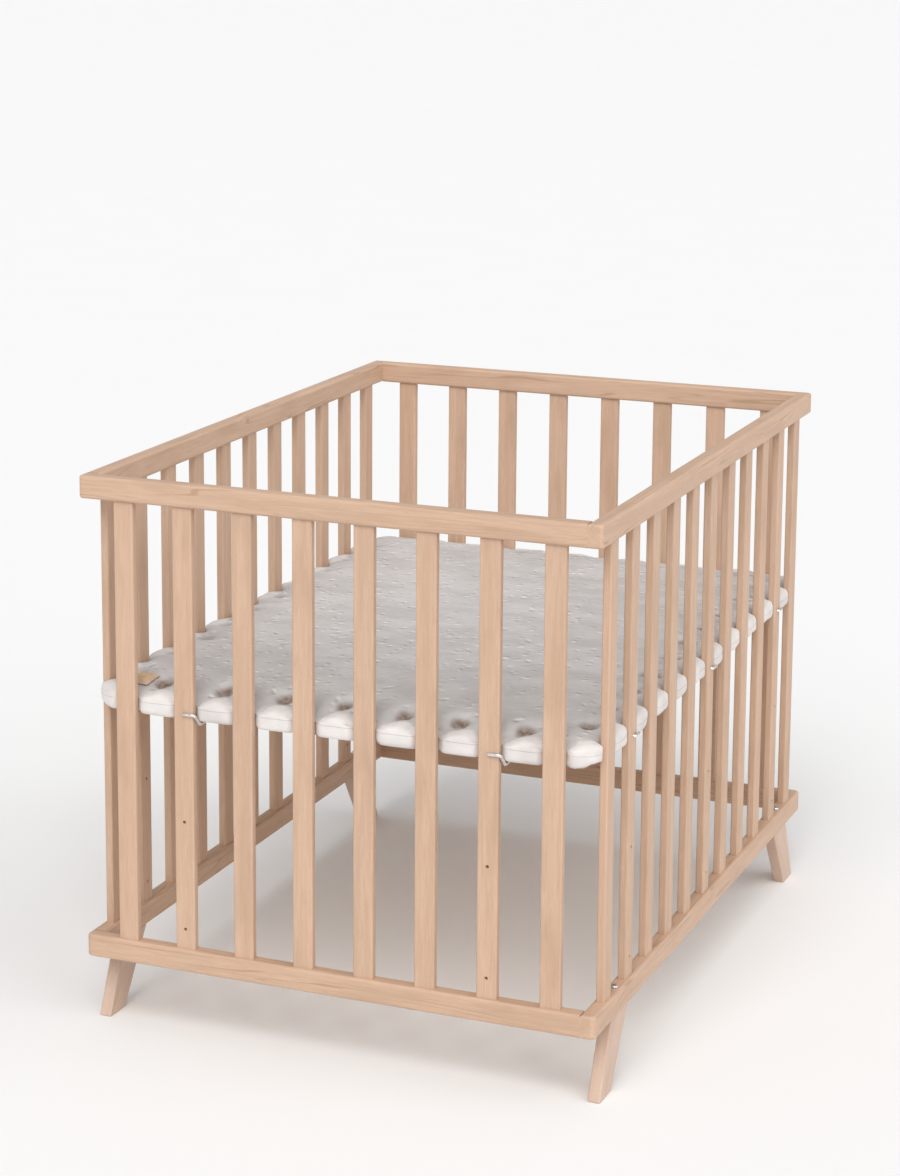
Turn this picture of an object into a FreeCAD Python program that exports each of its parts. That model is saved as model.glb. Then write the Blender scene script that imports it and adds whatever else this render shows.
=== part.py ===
"""Wooden playpen: four slatted panels without corner posts, four splayed legs, and a padded mat
on a deck that hangs on ten wire hooks.

Millimetres. Origin on the floor under the middle of the pen, +X along the short front panel,
+Y along the long side towards the back, +Z up.
"""
import FreeCAD
import Part

import math
import os

Vector = FreeCAD.Vector

# Slats and rails
SLAT_PITCH = 91.0          # centre to centre, the same on all four panels
SHORT_SLATS = 8            # on the front and back panels
LONG_SLATS = 11            # on the left and right panels
END_MARGIN = 66.5          # outer face of the pen to the centre of the first slat
SLAT_WIDE = 30.0
SLAT_THICK = 12.0
SLAT_ROUND = 2.5           # rounding of the slat's long edges
SLAT_TENON = 12.0          # length of each slat end inside its rail
RAIL_HIGH = 33.0
RAIL_THICK = 22.0
RAIL_ROUND = 4.0           # rounding of the rail's long edges
TOP_CORNER_ROUND = 5.0     # upright corner edge of the top frame
BOTTOM_CORNER_ROUND = 9.0  # upright corner edge of the bottom frame
PANEL_HIGH = 705.0         # underside of the bottom rail to the top of the top rail

# Legs
LEG_HIGH = 103.0
LEG_THICK = 18.0
LEG_TOP_LONG = 70.0
LEG_FOOT_LONG = 46.0
LEG_SPLAY = 57.5           # the foot's centre stands this far outside the leg bolt
LEG_ROUND = 2.0

# Deck, mat and label
DECK_THICK = 9.0
DECK_CLEAR = 10.0          # deck edge to the rails, so that it lifts out
DECK_ROUND = 12.0
MAT_THICK = 33.0
MAT_CLEAR = 5.0
MAT_ROUND = 30.0
MAT_EDGE_ROUND = 10.0
LABEL_SIZE = (28.0, 40.0, 0.8)
LABEL_ROUND = 1.0
LABEL_INSET = (41.0, 35.0)  # mat corner to the label's middle

# Wire hooks and the slat holes that take them
WIRE_R = 2.4
HOLE_CLEAR = 0.05          # radial clearance of a hook in its slat hole
HOOK_SHORT_SLATS = (2, 7)
HOOK_LONG_SLATS = (2, 6, 10)
TOP_HOLE_Z = 481.0
HOLE_STEP = 158.0
HOLE_LEVELS = 3
PEG_DEEP = 10.0            # length of the peg inside the slat
WIRE_STANDOFF = 0.2        # gap between the wire and the slat's outer face
HOOK_SIDE = 18.5           # slat centre to the arm under the deck, along the panel
HOOK_DROP = 17.0           # the arm lies this far below the peg
HOOK_SLOPE_END = 8.5       # slat centre to the foot of the slope, inwards
HOOK_REACH = 45.0          # slat centre to the tip of the arm, inwards
PEG_BEND = 2.5
SIDE_BEND = 4.0
SLOPE_BEND = 5.0
REST_GAP = 0.3             # between touching pieces that can move apart

# Hidden fixings
FIT = 0.05                 # radial clearance of fixings in their holes
DOWEL_R = 4.0
DOWEL_LONG = 30.0
DOWEL_IN_THROUGH = 12.0    # dowel length inside the rail that runs through
DOWEL_RAISE = 24.0         # above the rail's underside
STUD_R = 2.5
STUD_IN_THROUGH = 10.0
STUD_IN_BUTT = 16.0
STUD_RAISE = 9.0
STUD_HEAD_R = 3.5
STUD_HEAD_LONG = 2.5
CAM_R = 6.0
CAM_DEEP = 13.0
CAM_SET_BACK = 18.0        # joint face to the cam's centre
CAM_SLOT = (1.2, 9.0, 2.0)  # width, length and depth
CAM_ROOM = 0.15            # clearance of the stud's head inside the cam
BOLT_R = 3.0
BOLT_LONG = 60.0
BOLT_HEAD_R = 6.0
BOLT_HEAD_HIGH = 4.0
BOLT_SOCKET_R = 2.3
BOLT_SOCKET_DEEP = 2.2
BOLT_DOME = 2.8            # rounding of the head's rim
BOLT_HOLE_CLEAR = 0.2
BOLT_SPARE = 2.0           # depth of the hole past the bolt's tip
INSERT_R = 4.5
INSERT_LONG = 15.0
INSERT_BELOW_TOP = 8.0     # top of the insert below the top of the leg
LEG_DOWEL_OFFSET = -20.0   # leg bolt to leg dowel, negative towards the middle of the pen

WIDTH = (SHORT_SLATS - 1) * SLAT_PITCH + 2 * END_MARGIN
LENGTH = (LONG_SLATS - 1) * SLAT_PITCH + 2 * END_MARGIN
HALF_X = WIDTH / 2
HALF_Y = LENGTH / 2
BOTTOM_RAIL_Z = LEG_HIGH
TOP_RAIL_Z = LEG_HIGH + PANEL_HIGH - RAIL_HIGH
RAIL_MID = RAIL_THICK / 2
SLAT_LOW = BOTTOM_RAIL_Z + RAIL_HIGH - SLAT_TENON
SLAT_TOP = TOP_RAIL_Z + SLAT_TENON
BOLT_X = HALF_X - RAIL_MID
BOLT_Y = HALF_Y - END_MARGIN - SLAT_PITCH / 2
BOLT_SEAT_Z = BOTTOM_RAIL_Z + RAIL_HIGH
INSERT_TOP_Z = LEG_HIGH - INSERT_BELOW_TOP
DECK_Z = TOP_HOLE_Z - HOOK_DROP + WIRE_R + REST_GAP
MAT_Z = DECK_Z + DECK_THICK + REST_GAP
MAT_HALF = (HALF_X - RAIL_THICK - MAT_CLEAR, HALF_Y - RAIL_THICK - MAT_CLEAR)
RAIL_LEVELS = {"bottom": BOTTOM_RAIL_Z, "top": TOP_RAIL_Z}

ORIGIN = Vector(0, 0, 0)
UP = Vector(0, 0, 1)
ALONG = Vector(1, 0, 0)


class Panel:
    """One side of the pen, modelled where the front panel stands and then turned about +Z.

    Along the panel x runs to the right as seen from outside, and y runs inwards. Its rails run
    through to the corner at the left end and butt against the next panel's rails at the right.
    """

    def __init__(self, name, turn, half, reach, slats, hook_slats, slat_pairs):
        self.name = name
        self.turn = turn
        self.half = half
        self.outer_y = -reach
        self.mid_y = -reach + RAIL_MID
        self.slats = slats
        self.hook_slats = hook_slats
        self.slat_pairs = slat_pairs

    def turned(self, shape):
        """Bring a shape from the front panel's place to this panel's place."""
        shape.rotate(ORIGIN, UP, self.turn)
        return shape

    def slat_x(self, number):
        """Slats count along world +X on the front and back, and along +Y on the sides."""
        place = (number - (self.slats + 1) / 2) * SLAT_PITCH
        return place if self.turn < 180 else -place


PANELS = [
    Panel("front", 0, HALF_X, HALF_Y, SHORT_SLATS, HOOK_SHORT_SLATS, ((3, 4), (5, 6))),
    Panel("right", 90, HALF_Y, HALF_X, LONG_SLATS, HOOK_LONG_SLATS, ((3, 4), (8, 9))),
    Panel("back", 180, HALF_X, HALF_Y, SHORT_SLATS, HOOK_SHORT_SLATS, ((3, 4), (5, 6))),
    Panel("left", 270, HALF_Y, HALF_X, LONG_SLATS, HOOK_LONG_SLATS, ((3, 4), (8, 9))),
]


def upright_bar(x, y, wide, thick, low, high, corner):
    """An upright prism about (x, y) with rounded upright edges."""
    bar = Part.makeBox(wide, thick, high - low, Vector(x - wide / 2, y - thick / 2, low))
    upright = [edge for edge in bar.Edges if edge.BoundBox.ZLength > (high - low) / 2]
    return bar.makeFillet(corner, upright)


def rod(radius, start, end):
    """A round rod between two points."""
    axis = end - start
    return Part.makeCylinder(radius, axis.Length, start, axis)


def cut_all(shape, tools):
    """Cut a list of tools out of a shape and return its one solid."""
    return shape.cut(tools).Solids[0] if tools else shape


# ---------------------------------------------------------------- slats


def slat_blank(panel, number):
    """The outside of one slat, tenons included. The rails' mortises have the same shape."""
    x = panel.slat_x(number)
    bar = upright_bar(x, panel.mid_y, SLAT_WIDE, SLAT_THICK, SLAT_LOW, SLAT_TOP, SLAT_ROUND)
    return panel.turned(bar)


def hook_holes(panel, number):
    """The through holes of a slat that carries a hook, one for each height of the deck."""
    x = panel.slat_x(number)
    holes = []
    for level in range(HOLE_LEVELS):
        z = TOP_HOLE_Z - level * HOLE_STEP
        outside = Vector(x, panel.mid_y - SLAT_THICK, z)
        inside = Vector(x, panel.mid_y + SLAT_THICK, z)
        holes.append(panel.turned(rod(WIRE_R + HOLE_CLEAR, outside, inside)))
    return holes


def slat(panel, number):
    """One finished slat."""
    holes = hook_holes(panel, number) if number in panel.hook_slats else []
    return cut_all(slat_blank(panel, number), holes)


def slat_nodes(panel):
    """Every slat of a panel by node name. Each listed pair of plain slats shares a node."""
    nodes = {}
    paired = [number for pair in panel.slat_pairs for number in pair]
    for number in range(1, panel.slats + 1):
        if number not in paired:
            nodes[f"{panel.name}_slat_{number}"] = [slat(panel, number)]
    for first, second in panel.slat_pairs:
        name = f"{panel.name}_slats_{first}_{second}"
        nodes[name] = [slat(panel, first), slat(panel, second)]
    return nodes


# ---------------------------------------------------------------- corner fixings


def joint_x(panel):
    """Where the panel's rails butt against the next panel's rails."""
    return panel.half - RAIL_THICK


def corner_dowel(panel, rail_z, radius, spare):
    """A wooden dowel across the corner joint, or its hole when radius and spare are larger."""
    x = joint_x(panel)
    z = rail_z + DOWEL_RAISE
    start = Vector(x - (DOWEL_LONG - DOWEL_IN_THROUGH) - spare, panel.mid_y, z)
    end = Vector(x + DOWEL_IN_THROUGH + spare, panel.mid_y, z)
    return panel.turned(rod(radius, start, end))


def cam_stud(panel, rail_z, spare):
    """The steel stud that the cam pulls on, with its head inside the cam."""
    x = joint_x(panel)
    z = rail_z + STUD_RAISE
    neck = Vector(x - STUD_IN_BUTT, panel.mid_y, z)
    shank = rod(STUD_R + spare, neck, Vector(x + STUD_IN_THROUGH + spare, panel.mid_y, z))
    head_start = neck - ALONG * (STUD_HEAD_LONG + spare)
    head = rod(STUD_HEAD_R + spare, head_start, neck + ALONG * spare)
    return panel.turned(shank.fuse(head).removeSplitter())


def cam_centre(panel, rail_z):
    """The middle of a cam's lower face, before the panel is turned."""
    return Vector(joint_x(panel) - CAM_SET_BACK, panel.mid_y, rail_z)


def cam_blank(panel, rail_z, spare):
    """The outside of a cam, let into the underside of the rail."""
    centre = cam_centre(panel, rail_z)
    return panel.turned(rod(CAM_R + spare, centre, centre + UP * (CAM_DEEP + spare)))


def cam_lock(panel, rail_z):
    """A cam with room for the stud's head and a screwdriver slot in its lower face."""
    slot_wide, slot_long, slot_deep = CAM_SLOT
    corner = cam_centre(panel, rail_z) - Vector(slot_wide / 2, slot_long / 2, 0)
    slot = panel.turned(Part.makeBox(slot_wide, slot_long, slot_deep, corner))
    return cut_all(cam_blank(panel, rail_z, 0), [slot, cam_stud(panel, rail_z, CAM_ROOM)])


def corner_holes(panel, rail_z):
    """Everything that one corner joint takes out of the two rails that meet there."""
    return [
        corner_dowel(panel, rail_z, DOWEL_R + FIT, FIT),
        cam_stud(panel, rail_z, FIT),
        cam_blank(panel, rail_z, FIT),
    ]


# ---------------------------------------------------------------- rails


def rail_blank(panel, rail_z, corner_round):
    """A rail with its outer upright corner and its long edges rounded, square where it butts."""
    long = 2 * panel.half - RAIL_THICK
    start = Vector(-panel.half, panel.outer_y, rail_z)
    bar = Part.makeBox(long, RAIL_THICK, RAIL_HIGH, start)
    corner = [
        edge
        for edge in bar.Edges
        if edge.BoundBox.XMax < start.x + 1 and edge.BoundBox.YMax < start.y + 1
    ]
    bar = bar.makeFillet(corner_round, corner)
    level = [
        edge
        for edge in bar.Edges
        if edge.BoundBox.ZLength < 0.01 and edge.BoundBox.XMin < joint_x(panel) - 1
    ]
    return panel.turned(bar.makeFillet(RAIL_ROUND, level))


def rail(index, level):
    """One finished rail: mortised for its slats and drilled for its corners and legs."""
    panel = PANELS[index]
    rail_z = RAIL_LEVELS[level]
    corner_round = TOP_CORNER_ROUND if level == "top" else BOTTOM_CORNER_ROUND
    tools = [slat_blank(panel, number) for number in range(1, panel.slats + 1)]
    tools += corner_holes(panel, rail_z)
    tools += corner_holes(PANELS[index - 1], rail_z)
    if level == "bottom" and panel.slats == LONG_SLATS:
        tools += [hole for leg in LEGS for hole in leg_holes(leg)]
    return cut_all(rail_blank(panel, rail_z, corner_round), tools)


# ---------------------------------------------------------------- legs

# Each leg's node name and the signs of its place along X and Y
LEGS = [
    ("leg_front_left", -1, -1),
    ("leg_front_right", 1, -1),
    ("leg_back_left", -1, 1),
    ("leg_back_right", 1, 1),
]


def leg_point(leg, outward, z):
    """A point in the leg's middle plane, a distance outside its bolt along Y."""
    _, side, end = leg
    return Vector(side * BOLT_X, end * (BOLT_Y + outward), z)


def leg_holes(leg):
    """The bolt's, insert's and dowel's holes, in the leg and in the rail above it."""
    tip = leg_point(leg, 0, BOLT_SEAT_Z - BOLT_LONG - BOLT_SPARE)
    insert_low = leg_point(leg, 0, INSERT_TOP_Z - INSERT_LONG)
    return [
        rod(BOLT_R + BOLT_HOLE_CLEAR, tip, leg_point(leg, 0, BOLT_SEAT_Z + BOLT_SPARE)),
        rod(INSERT_R + FIT, insert_low, leg_point(leg, 0, INSERT_TOP_Z)),
        leg_dowel(leg, DOWEL_R + FIT, FIT),
    ]


def leg_dowel(leg, radius, spare):
    """The dowel that keeps the leg from turning on its bolt."""
    half = DOWEL_LONG / 2 + spare
    low = leg_point(leg, LEG_DOWEL_OFFSET, LEG_HIGH - half)
    return rod(radius, low, low + UP * 2 * half)


def leg_block(leg):
    """A tapered leg that leans outwards along Y."""
    outline = [
        leg_point(leg, -LEG_TOP_LONG / 2, LEG_HIGH),
        leg_point(leg, LEG_TOP_LONG / 2, LEG_HIGH),
        leg_point(leg, LEG_SPLAY + LEG_FOOT_LONG / 2, 0),
        leg_point(leg, LEG_SPLAY - LEG_FOOT_LONG / 2, 0),
    ]
    face = Part.Face(Part.makePolygon(outline + outline[:1]))
    face.translate(ALONG * (-LEG_THICK / 2))
    block = face.extrude(ALONG * LEG_THICK)
    edges = [edge for edge in block.Edges if edge.BoundBox.ZMin < LEG_HIGH - 1]
    return cut_all(block.makeFillet(LEG_ROUND, edges), leg_holes(leg))


def leg_bolt(leg):
    """A dome-head bolt with a hexagon socket, its head on top of the bottom rail."""
    seat = leg_point(leg, 0, BOLT_SEAT_Z)
    top = seat + UP * BOLT_HEAD_HIGH
    head = rod(BOLT_HEAD_R, seat, top)
    rim = [edge for edge in head.Edges if edge.BoundBox.ZMin > (seat.z + top.z) / 2]
    head = head.makeFillet(BOLT_DOME, rim)
    shank = rod(BOLT_R, seat - UP * BOLT_LONG, seat)
    hexagon = Part.makeCircle(BOLT_SOCKET_R, top - UP * BOLT_SOCKET_DEEP).discretize(7)
    socket = Part.Face(Part.makePolygon(hexagon)).extrude(UP * BOLT_HEAD_HIGH)
    return cut_all(head.fuse(shank).removeSplitter(), [socket])


def leg_insert(leg):
    """The threaded sleeve that the leg bolt turns into."""
    top = leg_point(leg, 0, INSERT_TOP_Z)
    low = top - UP * INSERT_LONG
    return cut_all(rod(INSERT_R, low, top), [rod(BOLT_R + FIT, low, top)])


# ---------------------------------------------------------------- hooks


def bent_wire(points, bends, radius):
    """A round wire of straight runs joined by tangent arcs, one bend radius for each corner."""
    edges = []
    start = points[0]
    for before, corner, after, bend in zip(points, points[1:], points[2:], bends):
        back = (before - corner).normalize()
        ahead = (after - corner).normalize()
        half_angle = back.getAngle(ahead) / 2
        inner = (back + ahead).normalize()
        middle = corner + inner * (bend / math.sin(half_angle) - bend)
        entry = corner + back * (bend / math.tan(half_angle))
        leave = corner + ahead * (bend / math.tan(half_angle))
        edges.append(Part.makeLine(start, entry))
        edges.append(Part.Arc(entry, middle, leave).toShape())
        start = leave
    edges.append(Part.makeLine(start, points[-1]))
    profile = Part.Wire(Part.makeCircle(radius, points[0], points[1] - points[0]))
    return Part.Wire(edges).makePipeShell([profile], True, True)


def hook(panel, number):
    """A wire hook: its peg in the slat, then round the slat's side and under the deck."""
    x = panel.slat_x(number)
    run_y = panel.mid_y - SLAT_THICK / 2 - WIRE_R - WIRE_STANDOFF
    peg_tip_y = panel.mid_y - SLAT_THICK / 2 + PEG_DEEP
    arm_z = TOP_HOLE_Z - HOOK_DROP
    route = [
        Vector(x, peg_tip_y, TOP_HOLE_Z),
        Vector(x, run_y, TOP_HOLE_Z),
        Vector(x + HOOK_SIDE, run_y, TOP_HOLE_Z),
        Vector(x + HOOK_SIDE, panel.mid_y + HOOK_SLOPE_END, arm_z),
        Vector(x + HOOK_SIDE, panel.mid_y + HOOK_REACH, arm_z),
    ]
    return panel.turned(bent_wire(route, (PEG_BEND, SIDE_BEND, SLOPE_BEND), WIRE_R))


# ---------------------------------------------------------------- deck, mat and label


def deck():
    """The flat board that lies on the hooks' inner legs."""
    wide = 2 * (HALF_X - RAIL_THICK - DECK_CLEAR)
    long = 2 * (HALF_Y - RAIL_THICK - DECK_CLEAR)
    return upright_bar(0, 0, wide, long, DECK_Z, DECK_Z + DECK_THICK, DECK_ROUND)


def mat():
    """The plain body of the padded mat."""
    half_x, half_y = MAT_HALF
    pad = upright_bar(0, 0, 2 * half_x, 2 * half_y, MAT_Z, MAT_Z + MAT_THICK, MAT_ROUND)
    level = [edge for edge in pad.Edges if edge.BoundBox.ZLength < 0.01]
    return pad.makeFillet(MAT_EDGE_ROUND, level)


def mat_label():
    """The blank fabric label at the mat's front left corner."""
    wide, long, thick = LABEL_SIZE
    x = -MAT_HALF[0] + LABEL_INSET[0]
    y = -MAT_HALF[1] + LABEL_INSET[1]
    top = MAT_Z + MAT_THICK
    return upright_bar(x, y, wide, long, top, top + thick, LABEL_ROUND)


# ---------------------------------------------------------------- the whole pen


def all_nodes():
    """Node name to its list of solids."""
    nodes = {}
    joints = [(panel, rail_z) for panel in PANELS for rail_z in RAIL_LEVELS.values()]
    for index, panel in enumerate(PANELS):
        for level in RAIL_LEVELS:
            nodes[f"{panel.name}_{level}_rail"] = [rail(index, level)]
        nodes.update(slat_nodes(panel))
        for count, number in enumerate(panel.hook_slats, 1):
            nodes[f"{panel.name}_hook_{count}"] = [hook(panel, number)]
    for leg in LEGS:
        nodes[leg[0]] = [leg_block(leg)]
    nodes["leg_bolts"] = [leg_bolt(leg) for leg in LEGS]
    nodes["leg_inserts"] = [leg_insert(leg) for leg in LEGS]
    nodes["cam_studs"] = [cam_stud(panel, rail_z, 0) for panel, rail_z in joints]
    nodes["cam_locks"] = [cam_lock(panel, rail_z) for panel, rail_z in joints]
    nodes["wood_dowels"] = [corner_dowel(panel, rail_z, DOWEL_R, 0) for panel, rail_z in joints]
    nodes["wood_dowels"] += [leg_dowel(leg, DOWEL_R, 0) for leg in LEGS]
    nodes["deck_board"] = [deck()]
    nodes["mat"] = [mat()]
    nodes["mat_label"] = [mat_label()]
    return nodes


def main():
    os.makedirs("parts", exist_ok=True)
    nodes = all_nodes()
    for name, solids in nodes.items():
        shape = solids[0] if len(solids) == 1 else Part.makeCompound(solids)
        shape.exportStep(f"parts/{name}.step")
        if not shape.isValid():
            print("not valid:", name)
    print(len(nodes), "nodes")


main()
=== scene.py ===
import math

import bmesh
import bpy
import numpy as np
from mathutils import Matrix, Vector, noise
from mathutils.bvhtree import BVHTree


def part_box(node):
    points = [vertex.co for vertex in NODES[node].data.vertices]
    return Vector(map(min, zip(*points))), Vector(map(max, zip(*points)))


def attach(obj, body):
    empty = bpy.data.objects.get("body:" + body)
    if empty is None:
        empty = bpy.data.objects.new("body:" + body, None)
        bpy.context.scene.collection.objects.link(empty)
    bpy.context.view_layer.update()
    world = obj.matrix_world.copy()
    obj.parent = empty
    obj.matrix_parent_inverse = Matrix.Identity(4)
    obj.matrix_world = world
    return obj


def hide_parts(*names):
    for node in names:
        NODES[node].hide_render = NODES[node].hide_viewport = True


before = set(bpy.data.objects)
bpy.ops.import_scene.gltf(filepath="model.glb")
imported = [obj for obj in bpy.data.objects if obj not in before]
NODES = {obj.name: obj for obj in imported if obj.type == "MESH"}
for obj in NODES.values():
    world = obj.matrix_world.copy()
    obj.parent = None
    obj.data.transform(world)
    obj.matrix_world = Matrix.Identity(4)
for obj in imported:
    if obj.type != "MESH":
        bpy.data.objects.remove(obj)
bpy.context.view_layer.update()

SCENE = bpy.context.scene
MM = 0.001


def slat_centres(panel, axis):
    """Every slat centre of a panel along x (0) or y (1), and their pitch, from its first two slats."""
    first, second = (sum(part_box(f"{panel}_slat_{n}"), Vector()) / 2 for n in (1, 2))
    pitch = second[axis] - first[axis]
    count = round(-2 * first[axis] / pitch) + 1
    return np.array([first[axis] + pitch * i for i in range(count)]), pitch


SLATS_X, PITCH = slat_centres("front", 0)
SLATS_Y, _ = slat_centres("right", 1)


# ---------------------------------------------------------------- camera, light and floor

CAMERA_PLACE = (1.5236, -3.8979, 1.6291)
CAMERA_YAW, CAMERA_PITCH, CAMERA_ROLL = 22.857, 10.488, 0.211
SHIFT_X, SHIFT_Y = 0.0425, -0.1599
SENSOR, LENS = 36.0, 86.6939  # in millimetres
WORLD_STRENGTH = 0.46
SUNS = (  # name, strength, width, heading to the right of the front, height, the last three in degrees
    ("key", 1.86, 40, 10, 45),
    ("fill", 1.00, 60, 80, 32),
)
SUN_AWAY = 5.0
FLOOR_HALF = 60.0


def make_camera():
    """The photograph's viewpoint, with a part of its upward shift."""
    data = bpy.data.cameras.new("camera")
    data.sensor_width = SENSOR
    data.lens = LENS
    data.shift_x = SHIFT_X
    data.shift_y = SHIFT_Y
    data.clip_end = 200
    camera = bpy.data.objects.new("camera", data)
    turn = Matrix.Rotation(math.radians(CAMERA_YAW), 4, "Z")
    tip = Matrix.Rotation(math.radians(90 - CAMERA_PITCH), 4, "X")
    roll = Matrix.Rotation(math.radians(CAMERA_ROLL), 4, "Z")
    camera.matrix_world = Matrix.Translation(CAMERA_PLACE) @ turn @ tip @ roll
    SCENE.collection.objects.link(camera)
    SCENE.camera = camera


def make_light():
    """A white room, one wide soft sun from the front and a wider, weaker one from the right."""
    world = bpy.data.worlds.new("studio")
    world.use_nodes = True
    background = world.node_tree.nodes["Background"]
    background.inputs["Color"].default_value = (1.0, 1.0, 1.0, 1.0)
    background.inputs["Strength"].default_value = WORLD_STRENGTH
    SCENE.world = world
    for name, strength, width, heading, height in SUNS:
        data = bpy.data.lights.new(name, "SUN")
        data.energy = strength
        data.angle = math.radians(width)
        light = bpy.data.objects.new(name, data)
        side, up = math.radians(heading), math.radians(height)
        towards = Vector((math.sin(side) * math.cos(up), -math.cos(side) * math.cos(up), math.sin(up)))
        light.rotation_euler = towards.to_track_quat("Z", "Y").to_euler()
        light.location = towards * SUN_AWAY
        SCENE.collection.objects.link(light)
    SCENE.view_settings.view_transform = "Standard"


# ---------------------------------------------------------------- material helpers


class Graph:
    """A material's node tree, where one call adds a node with its inputs."""

    def __init__(self, name):
        self.material = bpy.data.materials.new(name)
        self.material.use_nodes = True
        self.tree = self.material.node_tree
        self.shader = self.tree.nodes["Principled BSDF"]
        self.coords = self.add("ShaderNodeTexCoord").outputs["Object"]

    def put(self, socket, value):
        if isinstance(value, bpy.types.NodeSocket):
            self.tree.links.new(value, socket)
        else:
            socket.default_value = value

    def add(self, kind, inputs=(), **settings):
        node = self.tree.nodes.new(kind)
        for key, value in settings.items():
            setattr(node, key, value)
        for key, value in dict(inputs).items():
            self.put(node.inputs[key], value)
        return node

    def math(self, operation, *values, clamp=False):
        node = self.add("ShaderNodeMath", operation=operation, use_clamp=clamp)
        for socket, value in zip(node.inputs, values):
            self.put(socket, value)
        return node.outputs[0]

    def vector(self, operation, a, b):
        node = self.add("ShaderNodeVectorMath", {0: a, 1: b}, operation=operation)
        return node.outputs[0]

    def noise(self, place, scale, detail=2.0, roughness=0.5, distortion=0.0):
        values = {"Vector": place, "Scale": scale, "Detail": detail}
        values.update({"Roughness": roughness, "Distortion": distortion})
        return self.add("ShaderNodeTexNoise", values).outputs[0]

    def ramp(self, value, low, high):
        """0 at low and 1 at high, smooth between them."""
        values = {"Value": value, "From Min": low, "From Max": high}
        node = self.add("ShaderNodeMapRange", values, interpolation_type="SMOOTHSTEP")
        return node.outputs[0]

    def mix(self, amount, a, b, blend="MIX"):
        """Two colours mixed. Plain tuples are given an alpha of 1."""
        node = self.add("ShaderNodeMix", data_type="RGBA", blend_type=blend)
        colours = [c if isinstance(c, bpy.types.NodeSocket) else (*c, 1.0) for c in (a, b)]
        for index, value in zip((0, 6, 7), (amount, *colours)):
            self.put(node.inputs[index], value)
        return node.outputs[2]

    def bump(self, height, strength, distance):
        values = {"Height": height, "Strength": strength, "Distance": distance}
        return self.add("ShaderNodeBump", values).outputs[0]

    def shade(self, **sockets):
        for key, value in sockets.items():
            self.put(self.shader.inputs[key.replace("_", " ")], value)
        return self.material


# ---------------------------------------------------------------- wood

FIBRE_SQUEEZE, FLECK_SQUEEZE, CLOUD_SQUEEZE = 0.05, 0.16, 0.3  # how slowly patterns change along the fibres
LEG_SLOPE = 0.558  # how far a leg leans outwards for each unit of height
FLECK = (0.40, 0.25, 0.16)
CELLS = {  # size in metres, and shift in cells, of the boxes that give each piece its own pattern
    "X": ((10.0, 1.0, 0.45), (0.5, 0.0, 0.0)),
    "Y": ((1.0, 10.0, 0.45), (0.0, 0.5, 0.0)),
    "Z": ((PITCH, PITCH, 10.0), (0.0, 0.5, 0.5)),
    "LEG": ((1.0, 1.0, 10.0), (0.0, 0.0, 0.5)),
    "BOARD": ((10.0, 10.0, 10.0), (0.5, 0.5, 0.5)),
}


def wood_place(g, grain):
    """Coordinates shifted at random for each piece of wood, and a random value for each."""
    place = g.coords
    if grain == "LEG":
        x, y, z = g.add("ShaderNodeSeparateXYZ", {0: place}).outputs
        across = g.math("ADD", g.math("ABSOLUTE", y), g.math("MULTIPLY", z, LEG_SLOPE))
        place = g.add("ShaderNodeCombineXYZ", {0: x, 1: across, 2: z}).outputs[0]
    size, shift = CELLS[grain]
    cell = g.vector("FLOOR", g.vector("ADD", g.vector("DIVIDE", g.coords, size), shift), (0, 0, 0))
    piece = g.add("ShaderNodeTexWhiteNoise", {"Vector": cell}, noise_dimensions="3D")
    offset = g.vector("MULTIPLY", piece.outputs["Color"], (0.7, 0.7, 0.7))
    return g.vector("ADD", place, offset), piece.outputs["Value"]


def along_fibres(g, place, grain, squeeze):
    """A place for a pattern that is drawn out along the fibres."""
    along = {"LEG": "Z", "BOARD": "Y"}.get(grain, grain)
    return g.vector("MULTIPLY", place, tuple(squeeze if axis == along else 1.0 for axis in "XYZ"))


def tinted(colour, factors):
    return tuple(c * k for c, k in zip(colour, factors))


def wood(name, grain, light, dark, lines=0.6, gloss=0.5):
    """Lacquered beech. grain says how the fibres run, lines how much the rings show."""
    g = Graph(name)
    place, tone = wood_place(g, grain)
    fibres = along_fibres(g, place, grain, FIBRE_SQUEEZE)
    fibre = g.noise(fibres, 620, 4, 0.62)
    figure = g.noise(fibres, 60, 3, 0.55, 0.6)
    bands = g.noise(fibres, 150, 1, 0.4, 0.3)
    flecks = g.ramp(g.noise(along_fibres(g, place, grain, FLECK_SQUEEZE), 1150, 1), 0.66, 0.74)
    streaks = g.ramp(g.noise(fibres, 230, 2, 0.5), 0.67, 0.78)
    contour = g.math("SINE", g.math("MULTIPLY", g.noise(fibres, 34, 2, 0.4, 0.4), 70.0))
    rings = g.math("MULTIPLY", g.ramp(contour, 0.72, 1.0), g.ramp(g.noise(fibres, 75, 2), 0.42, 0.62))
    clouds = g.ramp(g.noise(along_fibres(g, place, grain, CLOUD_SQUEEZE), 26, 3), 0.48, 0.72)

    body = g.math("ADD", g.math("MULTIPLY", fibre, 0.45), g.math("MULTIPLY", figure, 0.35))
    body = g.ramp(g.math("ADD", body, g.math("MULTIPLY", bands, 0.25)), 0.38, 0.68)
    colour = g.mix(body, dark, light)
    for where, strength, other in (
        (tone, 0.35, tinted(light, (1.02, 0.97, 0.95))),
        (flecks, 0.30, FLECK),
        (streaks, 0.30, FLECK),
        (rings, lines, FLECK),
        (clouds, 0.45, tinted(dark, (0.90, 0.88, 0.86))),
    ):
        colour = g.mix(g.math("MULTIPLY", where, strength), colour, other)
    height = g.math("SUBTRACT", fibre, g.math("MULTIPLY", flecks, 0.6))
    rough = g.math("ADD", g.math("MULTIPLY", fibre, 0.18), gloss - 0.09)
    normal = g.bump(height, 0.22, 0.0004)
    return g.shade(Base_Color=colour, Roughness=rough, Normal=normal, Specular_IOR_Level=0.28)


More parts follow.
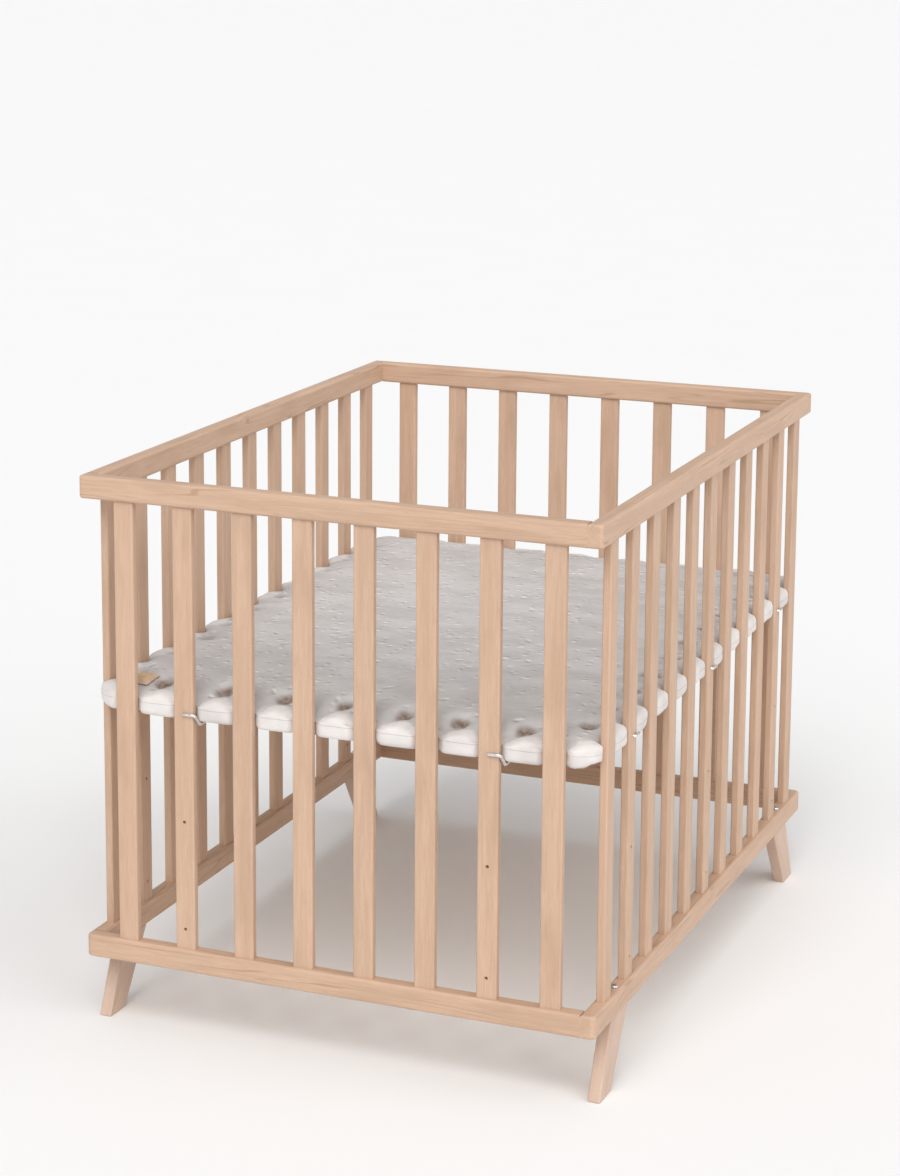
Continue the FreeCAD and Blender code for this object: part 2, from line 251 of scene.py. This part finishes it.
def paint(node, material):
    """Give a CAD node one material in its first slot."""
    data = NODES[node].data
    data.materials.clear()
    data.materials.append(material)


BEECH_LIGHT = (0.648, 0.450, 0.324)
BEECH_DARK = (0.535, 0.360, 0.252)
LEG_LIGHT = (0.670, 0.500, 0.400)
LEG_DARK = (0.585, 0.420, 0.325)
DECK_LIGHT = (0.600, 0.450, 0.310)
DECK_DARK = (0.500, 0.360, 0.240)


def dress_wood():
    upright = wood("beech_upright", "Z", BEECH_LIGHT, BEECH_DARK, 0.12)
    across = wood("beech_across", "X", BEECH_LIGHT, BEECH_DARK)
    deep = wood("beech_deep", "Y", BEECH_LIGHT, BEECH_DARK)
    leg = wood("beech_leg", "LEG", LEG_LIGHT, LEG_DARK, 0.10)
    deck = wood("deck_ply", "BOARD", DECK_LIGHT, DECK_DARK, gloss=0.62)
    for name in NODES:
        if "slat" in name or name == "wood_dowels":
            paint(name, upright)
        elif name.startswith("leg_") and name not in ("leg_bolts", "leg_inserts"):
            paint(name, leg)
        elif "rail" in name:
            paint(name, across if name.startswith(("front", "back")) else deep)
    paint("deck_board", deck)


# ---------------------------------------------------------------- metal


def metal(name, colour, gloss, grain=1800.0):
    """Metal with a fine, uneven polish."""
    g = Graph(name)
    fine = g.noise(g.coords, grain, 3, 0.6)
    broad = g.noise(g.coords, 160, 2)
    dull = tinted(colour, (0.82, 0.82, 0.82))
    tint = g.mix(g.ramp(broad, 0.35, 0.7), dull, colour)
    rough = g.math("ADD", g.math("MULTIPLY", fine, 0.14), gloss)
    return g.shade(Base_Color=tint, Metallic=1.0, Roughness=rough, Normal=g.bump(fine, 0.1, 0.0001))


def dress_metal():
    wire = metal("zinc_wire", (0.93, 0.92, 0.91), 0.26)
    chrome = metal("chrome", (0.80, 0.80, 0.81), 0.10)
    steel = metal("plain_steel", (0.62, 0.60, 0.56), 0.32)
    cast = metal("cast_zinc", (0.55, 0.55, 0.56), 0.42, 900.0)
    for name in NODES:
        if "_hook_" in name:
            paint(name, wire)
    paint("leg_bolts", chrome)
    paint("leg_inserts", steel)
    paint("cam_studs", steel)
    paint("cam_locks", cast)


# ---------------------------------------------------------------- mat

MAT_LOW, MAT_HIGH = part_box("mat")
HALF = np.array([MAT_HIGH.x, MAT_HIGH.y])
SLAT_HALF = (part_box("front_slat_1")[1].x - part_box("front_slat_1")[0].x) / 2
CORNER_R = 30 * MM
TOP_ROUND, UNDER_ROUND = 13 * MM, 4 * MM
VOXEL = 5 * MM
SEAM_Z = MAT_LOW.z + 13 * MM
SEAM_R = 0.6 * MM
PINCH = 7.5 * MM           # how far the edge stands out of the pad at a slat
PUFF = (21 * MM, 18 * MM)  # how far it stands out between slats, along x and y
CORNER_PUFF = (21 * MM, 16 * MM)
HANG = (3 * MM, 7 * MM)    # how far the puffed edge hangs below the pad, along x and y
DIP = 9 * MM               # how far the edge is drawn down beside a slat
DROOP = 6 * MM             # how far the whole rim droops, away from the corners
DROOP_START = 65 * MM      # how far from a corner the droop has grown to about two thirds
PIT_DEPTH = 12 * MM
PIT_LEFT = 8 * MM          # how far left of the gap's middle the front pits are
FOLD_LONG, FOLD_WIDE = 50 * MM, 11 * MM
PALE_REACH = (26, 17)      # how far in the pale puffs reach along x and y, in millimetres
PUFF_FRAMES = 20
PUFF_CAP, PUFF_RISE = 5 * MM, 1.5 * MM
SIDES = {                  # axis and side: how far in the pits are, how strong, how much the edge droops
    (1, -1): (33 * MM, 1.0, 1.0),
    (1, 1): (20 * MM, 0.35, 0.25),
    (0, 1): (27 * MM, 0.8, 0.55),
    (0, -1): (15 * MM, 0.45, 0.35),
}


def smooth(value, low, high):
    """0 at low and 1 at high, smooth between them, for arrays."""
    t = np.clip((value - low) / (high - low), 0, 1)
    return t * t * (3 - 2 * t)


def above(p, low, high):
    """0 at one height over the pad's underside and 1 at another, both in millimetres."""
    return smooth(p[:, 2], MAT_LOW.z + low * MM, MAT_LOW.z + high * MM)


def gap_place(along, centres):
    """0 beside a slat, 1 in the middle of a gap, and how far past the last slat, as 0 to 1."""
    away = np.abs(along[:, None] - centres[None, :]).min(1)
    gap = np.clip((away - SLAT_HALF) / (PITCH / 2 - SLAT_HALF), 0, 1)
    past = np.clip((np.abs(along) - centres.max() - SLAT_HALF) / (20 * MM), 0, 1)
    return gap, past


def pit_centres():
    """Where the top is drawn down behind each gap: rows of x, y, half length in x and y, strength."""
    draw = np.random.RandomState(11)
    rows = []
    for (axis, side), (inset, strength, _) in SIDES.items():
        centres = SLATS_X if axis == 1 else SLATS_Y
        for middle in (centres[1:] + centres[:-1]) / 2:
            along = middle + draw.uniform(-9, 5) * MM - PIT_LEFT * (axis == 1 and side < 0)
            across = side * (HALF[axis] - inset + draw.uniform(-6, 5) * MM)
            size = (draw.uniform(12, 16) * MM, draw.uniform(14, 19) * MM)
            force = strength * draw.uniform(0.75, 1.1)
            order = 1 if axis == 1 else -1
            rows.append((*(along, across)[::order], *size[::order], force))
    return np.array(rows)


PITS = pit_centres()


def pit_distance(p, x, y, half_x, half_y):
    """How far points are from a pit's middle, squared, where its rim is 1."""
    return ((p[:, 0] - x) / half_x) ** 2 + ((p[:, 1] - y) / half_y) ** 2


def read_points(mesh):
    flat = np.empty(len(mesh.vertices) * 3)
    mesh.vertices.foreach_get("co", flat)
    return flat.reshape(-1, 3)


def write_points(mesh, points):
    mesh.vertices.foreach_set("co", points.ravel())
    mesh.update()


def new_object(name, mesh):
    obj = bpy.data.objects.new(name, mesh)
    SCENE.collection.objects.link(obj)
    return obj


def with_modifiers(obj):
    """Replace an object's mesh by what its modifiers make of it."""
    depsgraph = bpy.context.evaluated_depsgraph_get()
    mesh = bpy.data.meshes.new_from_object(obj.evaluated_get(depsgraph))
    obj.modifiers.clear()
    obj.data = mesh


def smooth_shading(obj):
    obj.data.polygons.foreach_set("use_smooth", [True] * len(obj.data.polygons))


def mat_blank():
    """The plain pad with round corners and edges, as an even skin of small squares."""
    bm = bmesh.new()
    bmesh.ops.create_cube(bm, size=1)
    size = MAT_HIGH - MAT_LOW
    bmesh.ops.scale(bm, vec=size, verts=bm.verts)
    bmesh.ops.translate(bm, vec=(MAT_HIGH + MAT_LOW) / 2, verts=bm.verts)
    upright = [e for e in bm.edges if abs(e.verts[0].co.z - e.verts[1].co.z) > size.z / 2]
    bmesh.ops.bevel(bm, geom=upright, offset=CORNER_R, segments=8, affect="EDGES", profile=0.5)
    for level, round_by in ((MAT_HIGH.z, TOP_ROUND), (MAT_LOW.z, UNDER_ROUND)):
        flat = [e for e in bm.edges if all(abs(v.co.z - level) < MM for v in e.verts)]
        rim = [e for e in flat if e.calc_face_angle(0) > 1]
        bmesh.ops.bevel(bm, geom=rim, offset=round_by, segments=4, affect="EDGES", profile=0.5)
    mesh = bpy.data.meshes.new("mat_cover")
    bm.to_mesh(mesh)
    bm.free()
    obj = new_object("mat_cover", mesh)
    skin = obj.modifiers.new("skin", "REMESH")
    skin.mode = "VOXEL"
    skin.voxel_size = VOXEL
    with_modifiers(obj)
    return obj


def edge_reach(axis, gap, past):
    """How far the edge stands out of the plain pad along one axis."""
    hump = 1 - (1 - gap) ** 8
    reach = PINCH + (PUFF[axis] - PINCH) * hump
    return reach * (1 - past) + CORNER_PUFF[axis] * past


def shape_edge(p):
    """Puff the pad's edge out between the slats, and draw it in and down beside them."""
    inset = HALF - np.abs(p[:, :2])
    height = (p[:, 2] - MAT_LOW.z) / (MAT_HIGH.z - MAT_LOW.z)
    upper = smooth(height, 0.45, 0.9)
    out = p.copy()
    hills = np.ones(len(p))
    rim = np.zeros(len(p))
    for axis, centres in ((1, SLATS_X), (0, SLATS_Y)):
        gap, past = gap_place(p[:, 1 - axis], centres)
        waves = np.where(p[:, axis] > 0, SIDES[axis, 1][2], SIDES[axis, -1][2])
        reach = edge_reach(axis, gap, past)
        near = smooth(-inset[:, axis], -24 * MM, -2 * MM)
        out[:, axis] += np.sign(p[:, axis]) * reach * near
        edge = smooth(-inset[:, axis], -34 * MM, -6 * MM)
        dip = 1 - np.sin(np.clip(gap, 0, 1) * math.pi / 2) ** 1.5
        hills -= edge * dip * (1 - past) * waves
        rim = np.maximum(rim, waves**2 * smooth(-inset[:, axis], -52 * MM, -12 * MM))
    out[:, 2] -= upper * (1 - np.clip(hills, 0, 1)) * DIP
    from_corner = np.hypot(*np.maximum(inset, 0).T)
    out[:, 2] -= upper * DROOP * rim * (1 - np.exp(-((from_corner / DROOP_START) ** 2)))
    hang = [HANG[axis] * smooth(np.abs(out[:, axis]) - HALF[axis], 1.5 * MM, 5 * MM) for axis in (0, 1)]
    out[:, 2] -= np.maximum(*hang) * (1 - smooth(height, 0.1, 0.6))
    return out


def fan_folds(p):
    """Small folds that fan inwards over the top from each slat that pinches the edge."""
    out = p.copy()
    upper = above(p, 16, 24)
    draw = np.random.RandomState(5)
    for axis, centres in ((1, SLATS_X), (0, SLATS_Y)):
        for side in (-1, 1):
            for centre in centres:
                along = p[:, 1 - axis] - centre
                inward = HALF[axis] + PINCH - side * p[:, axis]
                away = np.hypot(along, inward)
                turn = np.arctan2(along, np.maximum(inward, MM))
                folds, phase = draw.randint(7, 11), draw.uniform(0, 6.28)
                fade = smooth(away, 6 * MM, 16 * MM) * np.exp(-((away / (32 * MM)) ** 2))
                out[:, 2] += upper * 1.3 * MM * fade * np.cos(folds * turn + phase)
    return out


def draw_down(p):
    """Sink the pits into the upper face, each with a shallow slanting fold through it."""
    out = p.copy()
    height = above(p, 18, 26)
    draw = np.random.RandomState(23)
    for *place, force in PITS:
        pit = np.exp(-pit_distance(p, *place))
        dx, dy = (p[:, :2] - place[:2]).T
        turn = draw.uniform(0.6, 2.5)
        run = (dx * math.cos(turn) + dy * math.sin(turn)) / FOLD_LONG
        off = (dy * math.cos(turn) - dx * math.sin(turn)) / FOLD_WIDE
        fold = 0.25 * np.exp(-(run**2) - off**2)
        out[:, 2] -= PIT_DEPTH * force * (pit + fold) * height
    return out


def wave_top(p):
    """Slow rolls in the stuffing, longest along x."""
    out = p.copy()
    inner = smooth(np.minimum(*(HALF - np.abs(p[:, :2])).T), 10 * MM, 60 * MM)
    upper = above(p, 20, 28)
    for index in np.nonzero(inner * upper > 0)[0]:
        x, y = p[index, :2]
        roll = noise.noise((x * 4.0, y * 14.0, 3.1)) * 2.2 + noise.noise((x * 12.0, y * 30.0, 7.7)) * 1.1
        out[index, 2] += (roll - 1.0) * MM * inner[index] * upper[index]
    return out


def puff(obj):
    """Let air pressure pull the cover into soft folds, with its underside and pits held."""
    start = read_points(obj.data)
    held = obj.vertex_groups.new(name="held")
    low = start[:, 2] < MAT_LOW.z + 2.5 * MM
    inside = (np.abs(start[:, :2]) < HALF + MM).all(1)
    in_pit = np.any([pit_distance(start, *place) < 0.35 for *place, _ in PITS], axis=0)
    in_pit &= start[:, 2] > MAT_LOW.z + 15 * MM
    fixed = np.nonzero((low & inside) | in_pit)[0]
    held.add([int(i) for i in fixed], 1.0, "REPLACE")
    cloth = obj.modifiers.new("puff", "CLOTH")
    settings = cloth.settings
    settings.quality = 4
    settings.mass = 0.25
    settings.tension_stiffness = 12
    settings.compression_stiffness = 6
    settings.shear_stiffness = 4
    settings.bending_stiffness = 0.4
    settings.shrink_min = -0.02
    settings.use_pressure = True
    settings.uniform_pressure_force = 4
    settings.effector_weights.gravity = 0
    settings.vertex_group_mass = "held"
    cloth.collision_settings.use_collision = False
    cloth.point_cache.frame_end = PUFF_FRAMES
    for number in range(1, PUFF_FRAMES + 1):
        SCENE.frame_set(number)
    depsgraph = bpy.context.evaluated_depsgraph_get()
    moved = read_points(obj.evaluated_get(depsgraph).data)
    obj.modifiers.remove(cloth)
    SCENE.frame_set(1)
    step = moved - start
    length = np.linalg.norm(step, axis=1, keepdims=True)
    step *= np.minimum(1, PUFF_CAP / np.maximum(length, 1e-9))
    step[:, 2] = np.minimum(step[:, 2], PUFF_RISE)
    write_points(obj.data, start + step)


def uneven(p, normals):
    """A slow unevenness of the stuffing, felt all over the cover and most in the puffed edge."""
    lift = np.zeros(len(p))
    edge = smooth((np.abs(p[:, :2]) - HALF).max(1), -45 * MM, -5 * MM)
    for index in np.nonzero(p[:, 2] > MAT_LOW.z - 2 * MM)[0]:
        x, y, z = p[index]
        broad = noise.noise((x * 22, y * 40, z * 30))
        fine = noise.noise((x * 60, y * 75, z * 90))
        crease = max(0.35 - abs(noise.noise((x * 38, y * 38, z * 55 + 4))), 0)
        lift[index] = fine * 0.6 + broad * (0.7 + 1.1 * edge[index])
        lift[index] -= 2.4 * edge[index] * crease**1.5
    return p + normals * (lift * MM)[:, None]


def vertex_normals(mesh):
    flat = np.empty(len(mesh.vertices) * 3)
    mesh.vertices.foreach_get("normal", flat)
    return flat.reshape(-1, 3)


def add_value(mesh, name, values):
    layer = mesh.attributes.new(name, "FLOAT", "POINT")
    layer.data.foreach_set("value", values.astype(np.float32))


def painted_pit_shade(p):
    """How much painted shade each point gets from the pits, grey towards their rims and brown deeper in."""
    pit_shade = np.zeros(len(p))
    for *place, force in PITS:
        pit_shade = np.maximum(pit_shade, min(force * 1.1, 1) * np.exp(-(pit_distance(p, *place) ** 1.6)))
    return pit_shade * above(p, 14, 20)


def pale_side(p):
    """How far each point belongs to the pale puffs between the slats."""
    ragged = np.array([noise.noise(place * 45) + 0.6 * noise.noise(place * 110) for place in map(Vector, p)])
    pale = np.zeros(len(p))
    flank = np.zeros(len(p))
    for axis, centres in ((1, SLATS_X), (0, SLATS_Y)):
        gap, past = gap_place(p[:, 1 - axis], centres)
        inward = HALF[axis] + edge_reach(axis, gap, past) - np.abs(p[:, axis])
        hill = np.sin(np.maximum(gap, past) * math.pi / 2)
        reach = (5 + PALE_REACH[axis] * hill + 7 * ragged) * MM
        pale = np.maximum(pale, 1 - smooth(inward, reach - 2 * MM, reach + 3 * MM))
        beside = (1 - smooth(np.maximum(gap, past) + 0.12 * ragged, 0.06, 0.24)) * (inward < 16 * MM)
        flank = np.maximum(flank, beside * smooth(p[:, 2], MAT_LOW.z, SEAM_Z))
    return pale * (1 - 0.7 * flank)


def mat_marks(mesh):
    """Store where the pits' painted shade, the pale puffs and the flat top are, for the cloth's colours."""
    p = read_points(mesh)
    add_value(mesh, "pit_shade", painted_pit_shade(p))
    add_value(mesh, "side", pale_side(p))
    add_value(mesh, "top", smooth(np.abs(vertex_normals(mesh)[:, 2]), 0.75, 0.95))


MAT_GREY = ((0.500, 0.478, 0.469), (0.615, 0.595, 0.586))
MAT_PALE = ((0.66, 0.615, 0.59), (0.78, 0.74, 0.715))
# painted shade in the pits: brown where they are deepest, grey towards their rims
PIT_SHADE_BROWN = ((0.11, 0.060, 0.032), (0.30, 0.215, 0.155))
PIT_SHADE = (0.30, 0.27, 0.255)
# painted shade and painted highlight for the two sides of each pucker
PUCKER_PAINTED_SHADE, PUCKER_PAINTED_HIGHLIGHT = (0.30, 0.27, 0.25), (0.84, 0.82, 0.81)
PUCKER_HALF = (4.0 * MM, 4.4 * MM)


def puckers(g, top):
    """Small tufts and dimples at random places on the flat top: their height, and how much painted shade or
    painted highlight falls on their two sides.
    """
    lifts, shades = [], []
    for scale, offset in ((58.0, 0.0), (36.0, 0.37)):
        place = g.vector("ADD", g.vector("MULTIPLY", g.coords, (0.85, 1.0, 0.0)), (offset, offset, 0.0))
        cell = g.add("ShaderNodeTexVoronoi", {"Vector": place, "Scale": scale}, voronoi_dimensions="2D")
        local = g.vector("SUBTRACT", place, cell.outputs["Position"])
        dx, dy, _ = g.add("ShaderNodeSeparateXYZ", {0: local}).outputs
        chance, sign, turn = g.add("ShaderNodeSeparateColor", {0: cell.outputs["Color"]}).outputs
        slant = g.math("MULTIPLY", g.math("SUBTRACT", turn, 0.5), dx)
        dy = g.math("MULTIPLY", g.math("ADD", dy, g.math("MULTIPLY", slant, 1.2)), 1 / PUCKER_HALF[1])
        dx = g.math("MULTIPLY", dx, 1 / PUCKER_HALF[0])
        away = g.math("ADD", g.math("MULTIPLY", dx, dx), g.math("MULTIPLY", dy, dy))
        blob = g.math("MULTIPLY", g.math("EXPONENT", g.math("MULTIPLY", away, -1.0)), top)
        sign = g.math("SIGN", g.math("SUBTRACT", sign, 0.4))
        blob = g.math("MULTIPLY", blob, g.math("MULTIPLY", g.ramp(chance, 0.35, 0.95), sign))
        lifts.append(blob)
        shades.append(g.math("MULTIPLY", blob, dy))
    return g.math("ADD", *lifts), g.math("ADD", *shades)


def thread_wave(g, axis):
    values = {"Vector": g.coords, "Scale": 260.0, "Distortion": 0.6}
    return g.add("ShaderNodeTexWave", values, bands_direction=axis).outputs["Fac"]


def mat_cloth():
    """Light grey puckered cotton, paler on the puffed edge, with painted brownish shade in the pits and
    painted shade and highlight on the sides of the puckers.
    """
    g = Graph("mat_cloth")
    marks = [g.add("ShaderNodeAttribute", attribute_name=name) for name in ("pit_shade", "side", "top")]
    pit_shade, side, top = (mark.outputs["Fac"] for mark in marks)
    stretched = g.vector("MULTIPLY", g.coords, (0.6, 1.0, 1.0))
    tone = g.noise(stretched, 16, 4, 0.6)
    lift, shade = puckers(g, top)
    grey = g.mix(g.ramp(tone, 0.3, 0.7), *MAT_GREY)
    # painted shade on one side of each pucker and painted highlight on the other
    grey = g.mix(g.ramp(shade, 0.0, 0.65), grey, PUCKER_PAINTED_SHADE)
    grey = g.mix(g.ramp(shade, 0.0, -0.65), grey, PUCKER_PAINTED_HIGHLIGHT)
    colour = g.mix(side, grey, g.mix(g.ramp(tone, 0.3, 0.7), *MAT_PALE))
    pit_shade_brown = g.mix(g.ramp(g.noise(g.coords, 170, 2), 0.35, 0.7), *PIT_SHADE_BROWN)
    # painted shade in the pits, grey towards their rims and brown in their middles
    colour = g.mix(g.math("MULTIPLY", g.ramp(pit_shade, 0.0, 0.5), 0.30), colour, PIT_SHADE)
    colour = g.mix(g.math("MULTIPLY", g.ramp(pit_shade, 0.2, 1.0), 0.92), colour, pit_shade_brown)
    weave = g.math("MULTIPLY", thread_wave(g, "X"), thread_wave(g, "Y"))
    crease = g.noise(stretched, 200, 2, 0.6)
    relief = g.math("ADD", g.math("MULTIPLY", weave, 0.10), g.math("MULTIPLY", crease, 0.35))
    relief = g.math("ADD", relief, g.math("MULTIPLY", lift, 1.5))
    return g.shade(
        Base_Color=colour,
        Roughness=0.9,
        Normal=g.bump(relief, 0.7, 0.0016),
        Sheen_Weight=0.25,
        Sheen_Roughness=0.5,
        Specular_IOR_Level=0.25,
    )


def make_mat():
    """The padded mat that stands for the plain CAD pad."""
    mat = mat_blank()
    points = read_points(mat.data)
    for shape in (shape_edge, fan_folds, draw_down, wave_top):
        points = shape(points)
    write_points(mat.data, points)
    puff(mat)
    smoother = mat.modifiers.new("finer", "SUBSURF")
    smoother.levels = 1
    with_modifiers(mat)
    points = read_points(mat.data)
    write_points(mat.data, uneven(points, vertex_normals(mat.data)))
    mat_marks(mat.data)
    smooth_shading(mat)
    mat.data.materials.clear()
    mat.data.materials.append(mat_cloth())
    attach(mat, "mat")
    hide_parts("mat")
    return mat


def skin_tree(obj):
    """An object's faces, ready for rays."""
    mesh = obj.data
    points = [v.co for v in mesh.vertices]
    return BVHTree.FromPolygons(points, [tuple(f.vertices) for f in mesh.polygons])


def edge_path(step):
    """Points outside the pad's outline, one each step along it, with the way inwards."""
    hx, hy = HALF - CORNER_R
    out = CORNER_R + 60 * MM
    quarter = math.pi / 2
    rows = []
    for turn, corner in enumerate(((hx, hy), (-hx, hy), (-hx, -hy), (hx, -hy))):
        corner = Vector((*corner, 0))
        for angle in turn * quarter + np.linspace(0, quarter, 14)[:-1]:
            way = Vector((math.cos(angle), math.sin(angle), 0))
            rows.append((corner + way * out, -way))
        angle = (turn + 1) * quarter
        way = Vector((math.cos(angle), math.sin(angle), 0))
        side = Vector((-way.y, way.x, 0))
        run = 2 * (hx if turn % 2 == 0 else hy)
        for i in range(int(run / step)):
            rows.append((corner + way * out + side * (i * step), -way))
    return rows


def make_seam(mat):
    """The raised seam that runs round the puffed edge."""
    tree = skin_tree(mat)
    points = []
    for place, way in edge_path(3 * MM):
        place.z = SEAM_Z
        hit = tree.ray_cast(place, way)[0]
        if hit is not None:
            points.append(hit + way * 0.25 * MM)
    curve = bpy.data.curves.new("mat_seam", "CURVE")
    curve.dimensions = "3D"
    curve.bevel_depth = SEAM_R
    curve.bevel_resolution = 2
    spline = curve.splines.new("POLY")
    spline.points.add(len(points) - 1)
    for target, point in zip(spline.points, points):
        target.co = (*point, 1)
    spline.use_cyclic_u = True
    seam = new_object("mat_seam", curve)
    seam.data.materials.append(mat.data.materials[0])
    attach(seam, "mat")
    return seam


# ---------------------------------------------------------------- label

LABEL_TAN = ((0.60, 0.41, 0.26), (0.72, 0.52, 0.35))
LABEL_THREAD = (0.70, 0.50, 0.34)
LABEL_THICK = 0.7 * MM
LABEL_CURL = 1.6 * MM
LABEL_GRID = (11, 15)


def label_cloth():
    g = Graph("label_cloth")
    weave = g.noise(g.vector("MULTIPLY", g.coords, (1.0, 0.3, 1.0)), 1400, 2)
    tone = g.noise(g.coords, 120, 2)
    colour = g.mix(g.ramp(tone, 0.3, 0.7), *LABEL_TAN)
    colour = g.mix(g.math("MULTIPLY", weave, 0.25), colour, LABEL_THREAD)
    return g.shade(Base_Color=colour, Roughness=0.8, Normal=g.bump(weave, 0.4, 0.0004))


def make_label(mat):
    """The blank label, laid on the mat's corner, with its inner edge curling up a little."""
    low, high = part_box("mat_label")
    tree = skin_tree(mat)
    columns, rows = LABEL_GRID
    bm = bmesh.new()
    grid = []
    for j in range(rows):
        for i in range(columns):
            x = low.x + (high.x - low.x) * i / (columns - 1)
            y = low.y + (high.y - low.y) * j / (rows - 1)
            hit = tree.ray_cast(Vector((x, y, high.z + 50 * MM)), Vector((0, 0, -1)))[0]
            curl = LABEL_CURL * (i / (columns - 1)) ** 2
            grid.append(bm.verts.new((x, y, hit.z + LABEL_THICK + curl)))
    for j in range(rows - 1):
        for i in range(columns - 1):
            a = j * columns + i
            bm.faces.new([grid[a], grid[a + 1], grid[a + columns + 1], grid[a + columns]])
    mesh = bpy.data.meshes.new("mat_tag")
    bm.to_mesh(mesh)
    bm.free()
    tag = new_object("mat_tag", mesh)
    even = tag.modifiers.new("even", "SMOOTH")
    even.iterations = 12
    even.use_x = even.use_y = False
    thick = tag.modifiers.new("thick", "SOLIDIFY")
    thick.thickness = LABEL_THICK
    thick.offset = 1
    soft = tag.modifiers.new("soft", "SUBSURF")
    soft.levels = 1
    with_modifiers(tag)
    tag.data.materials.append(label_cloth())
    smooth_shading(tag)
    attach(tag, "mat")
    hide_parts("mat_label")


# ---------------------------------------------------------------- floor

FLOOR_WHITE = ((0.915, 0.915, 0.915), (0.930, 0.930, 0.930))


def make_floor():
    """A plain pale floor, reaching far past the view."""
    mesh = bpy.data.meshes.new("floor")
    corners = [(x * FLOOR_HALF, y * FLOOR_HALF, 0) for x, y in ((-1, -1), (1, -1), (1, 1), (-1, 1))]
    mesh.from_pydata(corners, [], [(0, 1, 2, 3)])
    floor = new_object("floor", mesh)
    g = Graph("floor_white")
    colour = g.mix(g.noise(g.coords, 3, 2), *FLOOR_WHITE)
    mesh.materials.append(g.shade(Base_Color=colour, Roughness=0.8, Specular_IOR_Level=0.1))


def main():
    make_camera()
    make_light()
    make_floor()
    dress_wood()
    dress_metal()
    mat = make_mat()
    make_seam(mat)
    make_label(mat)


main()
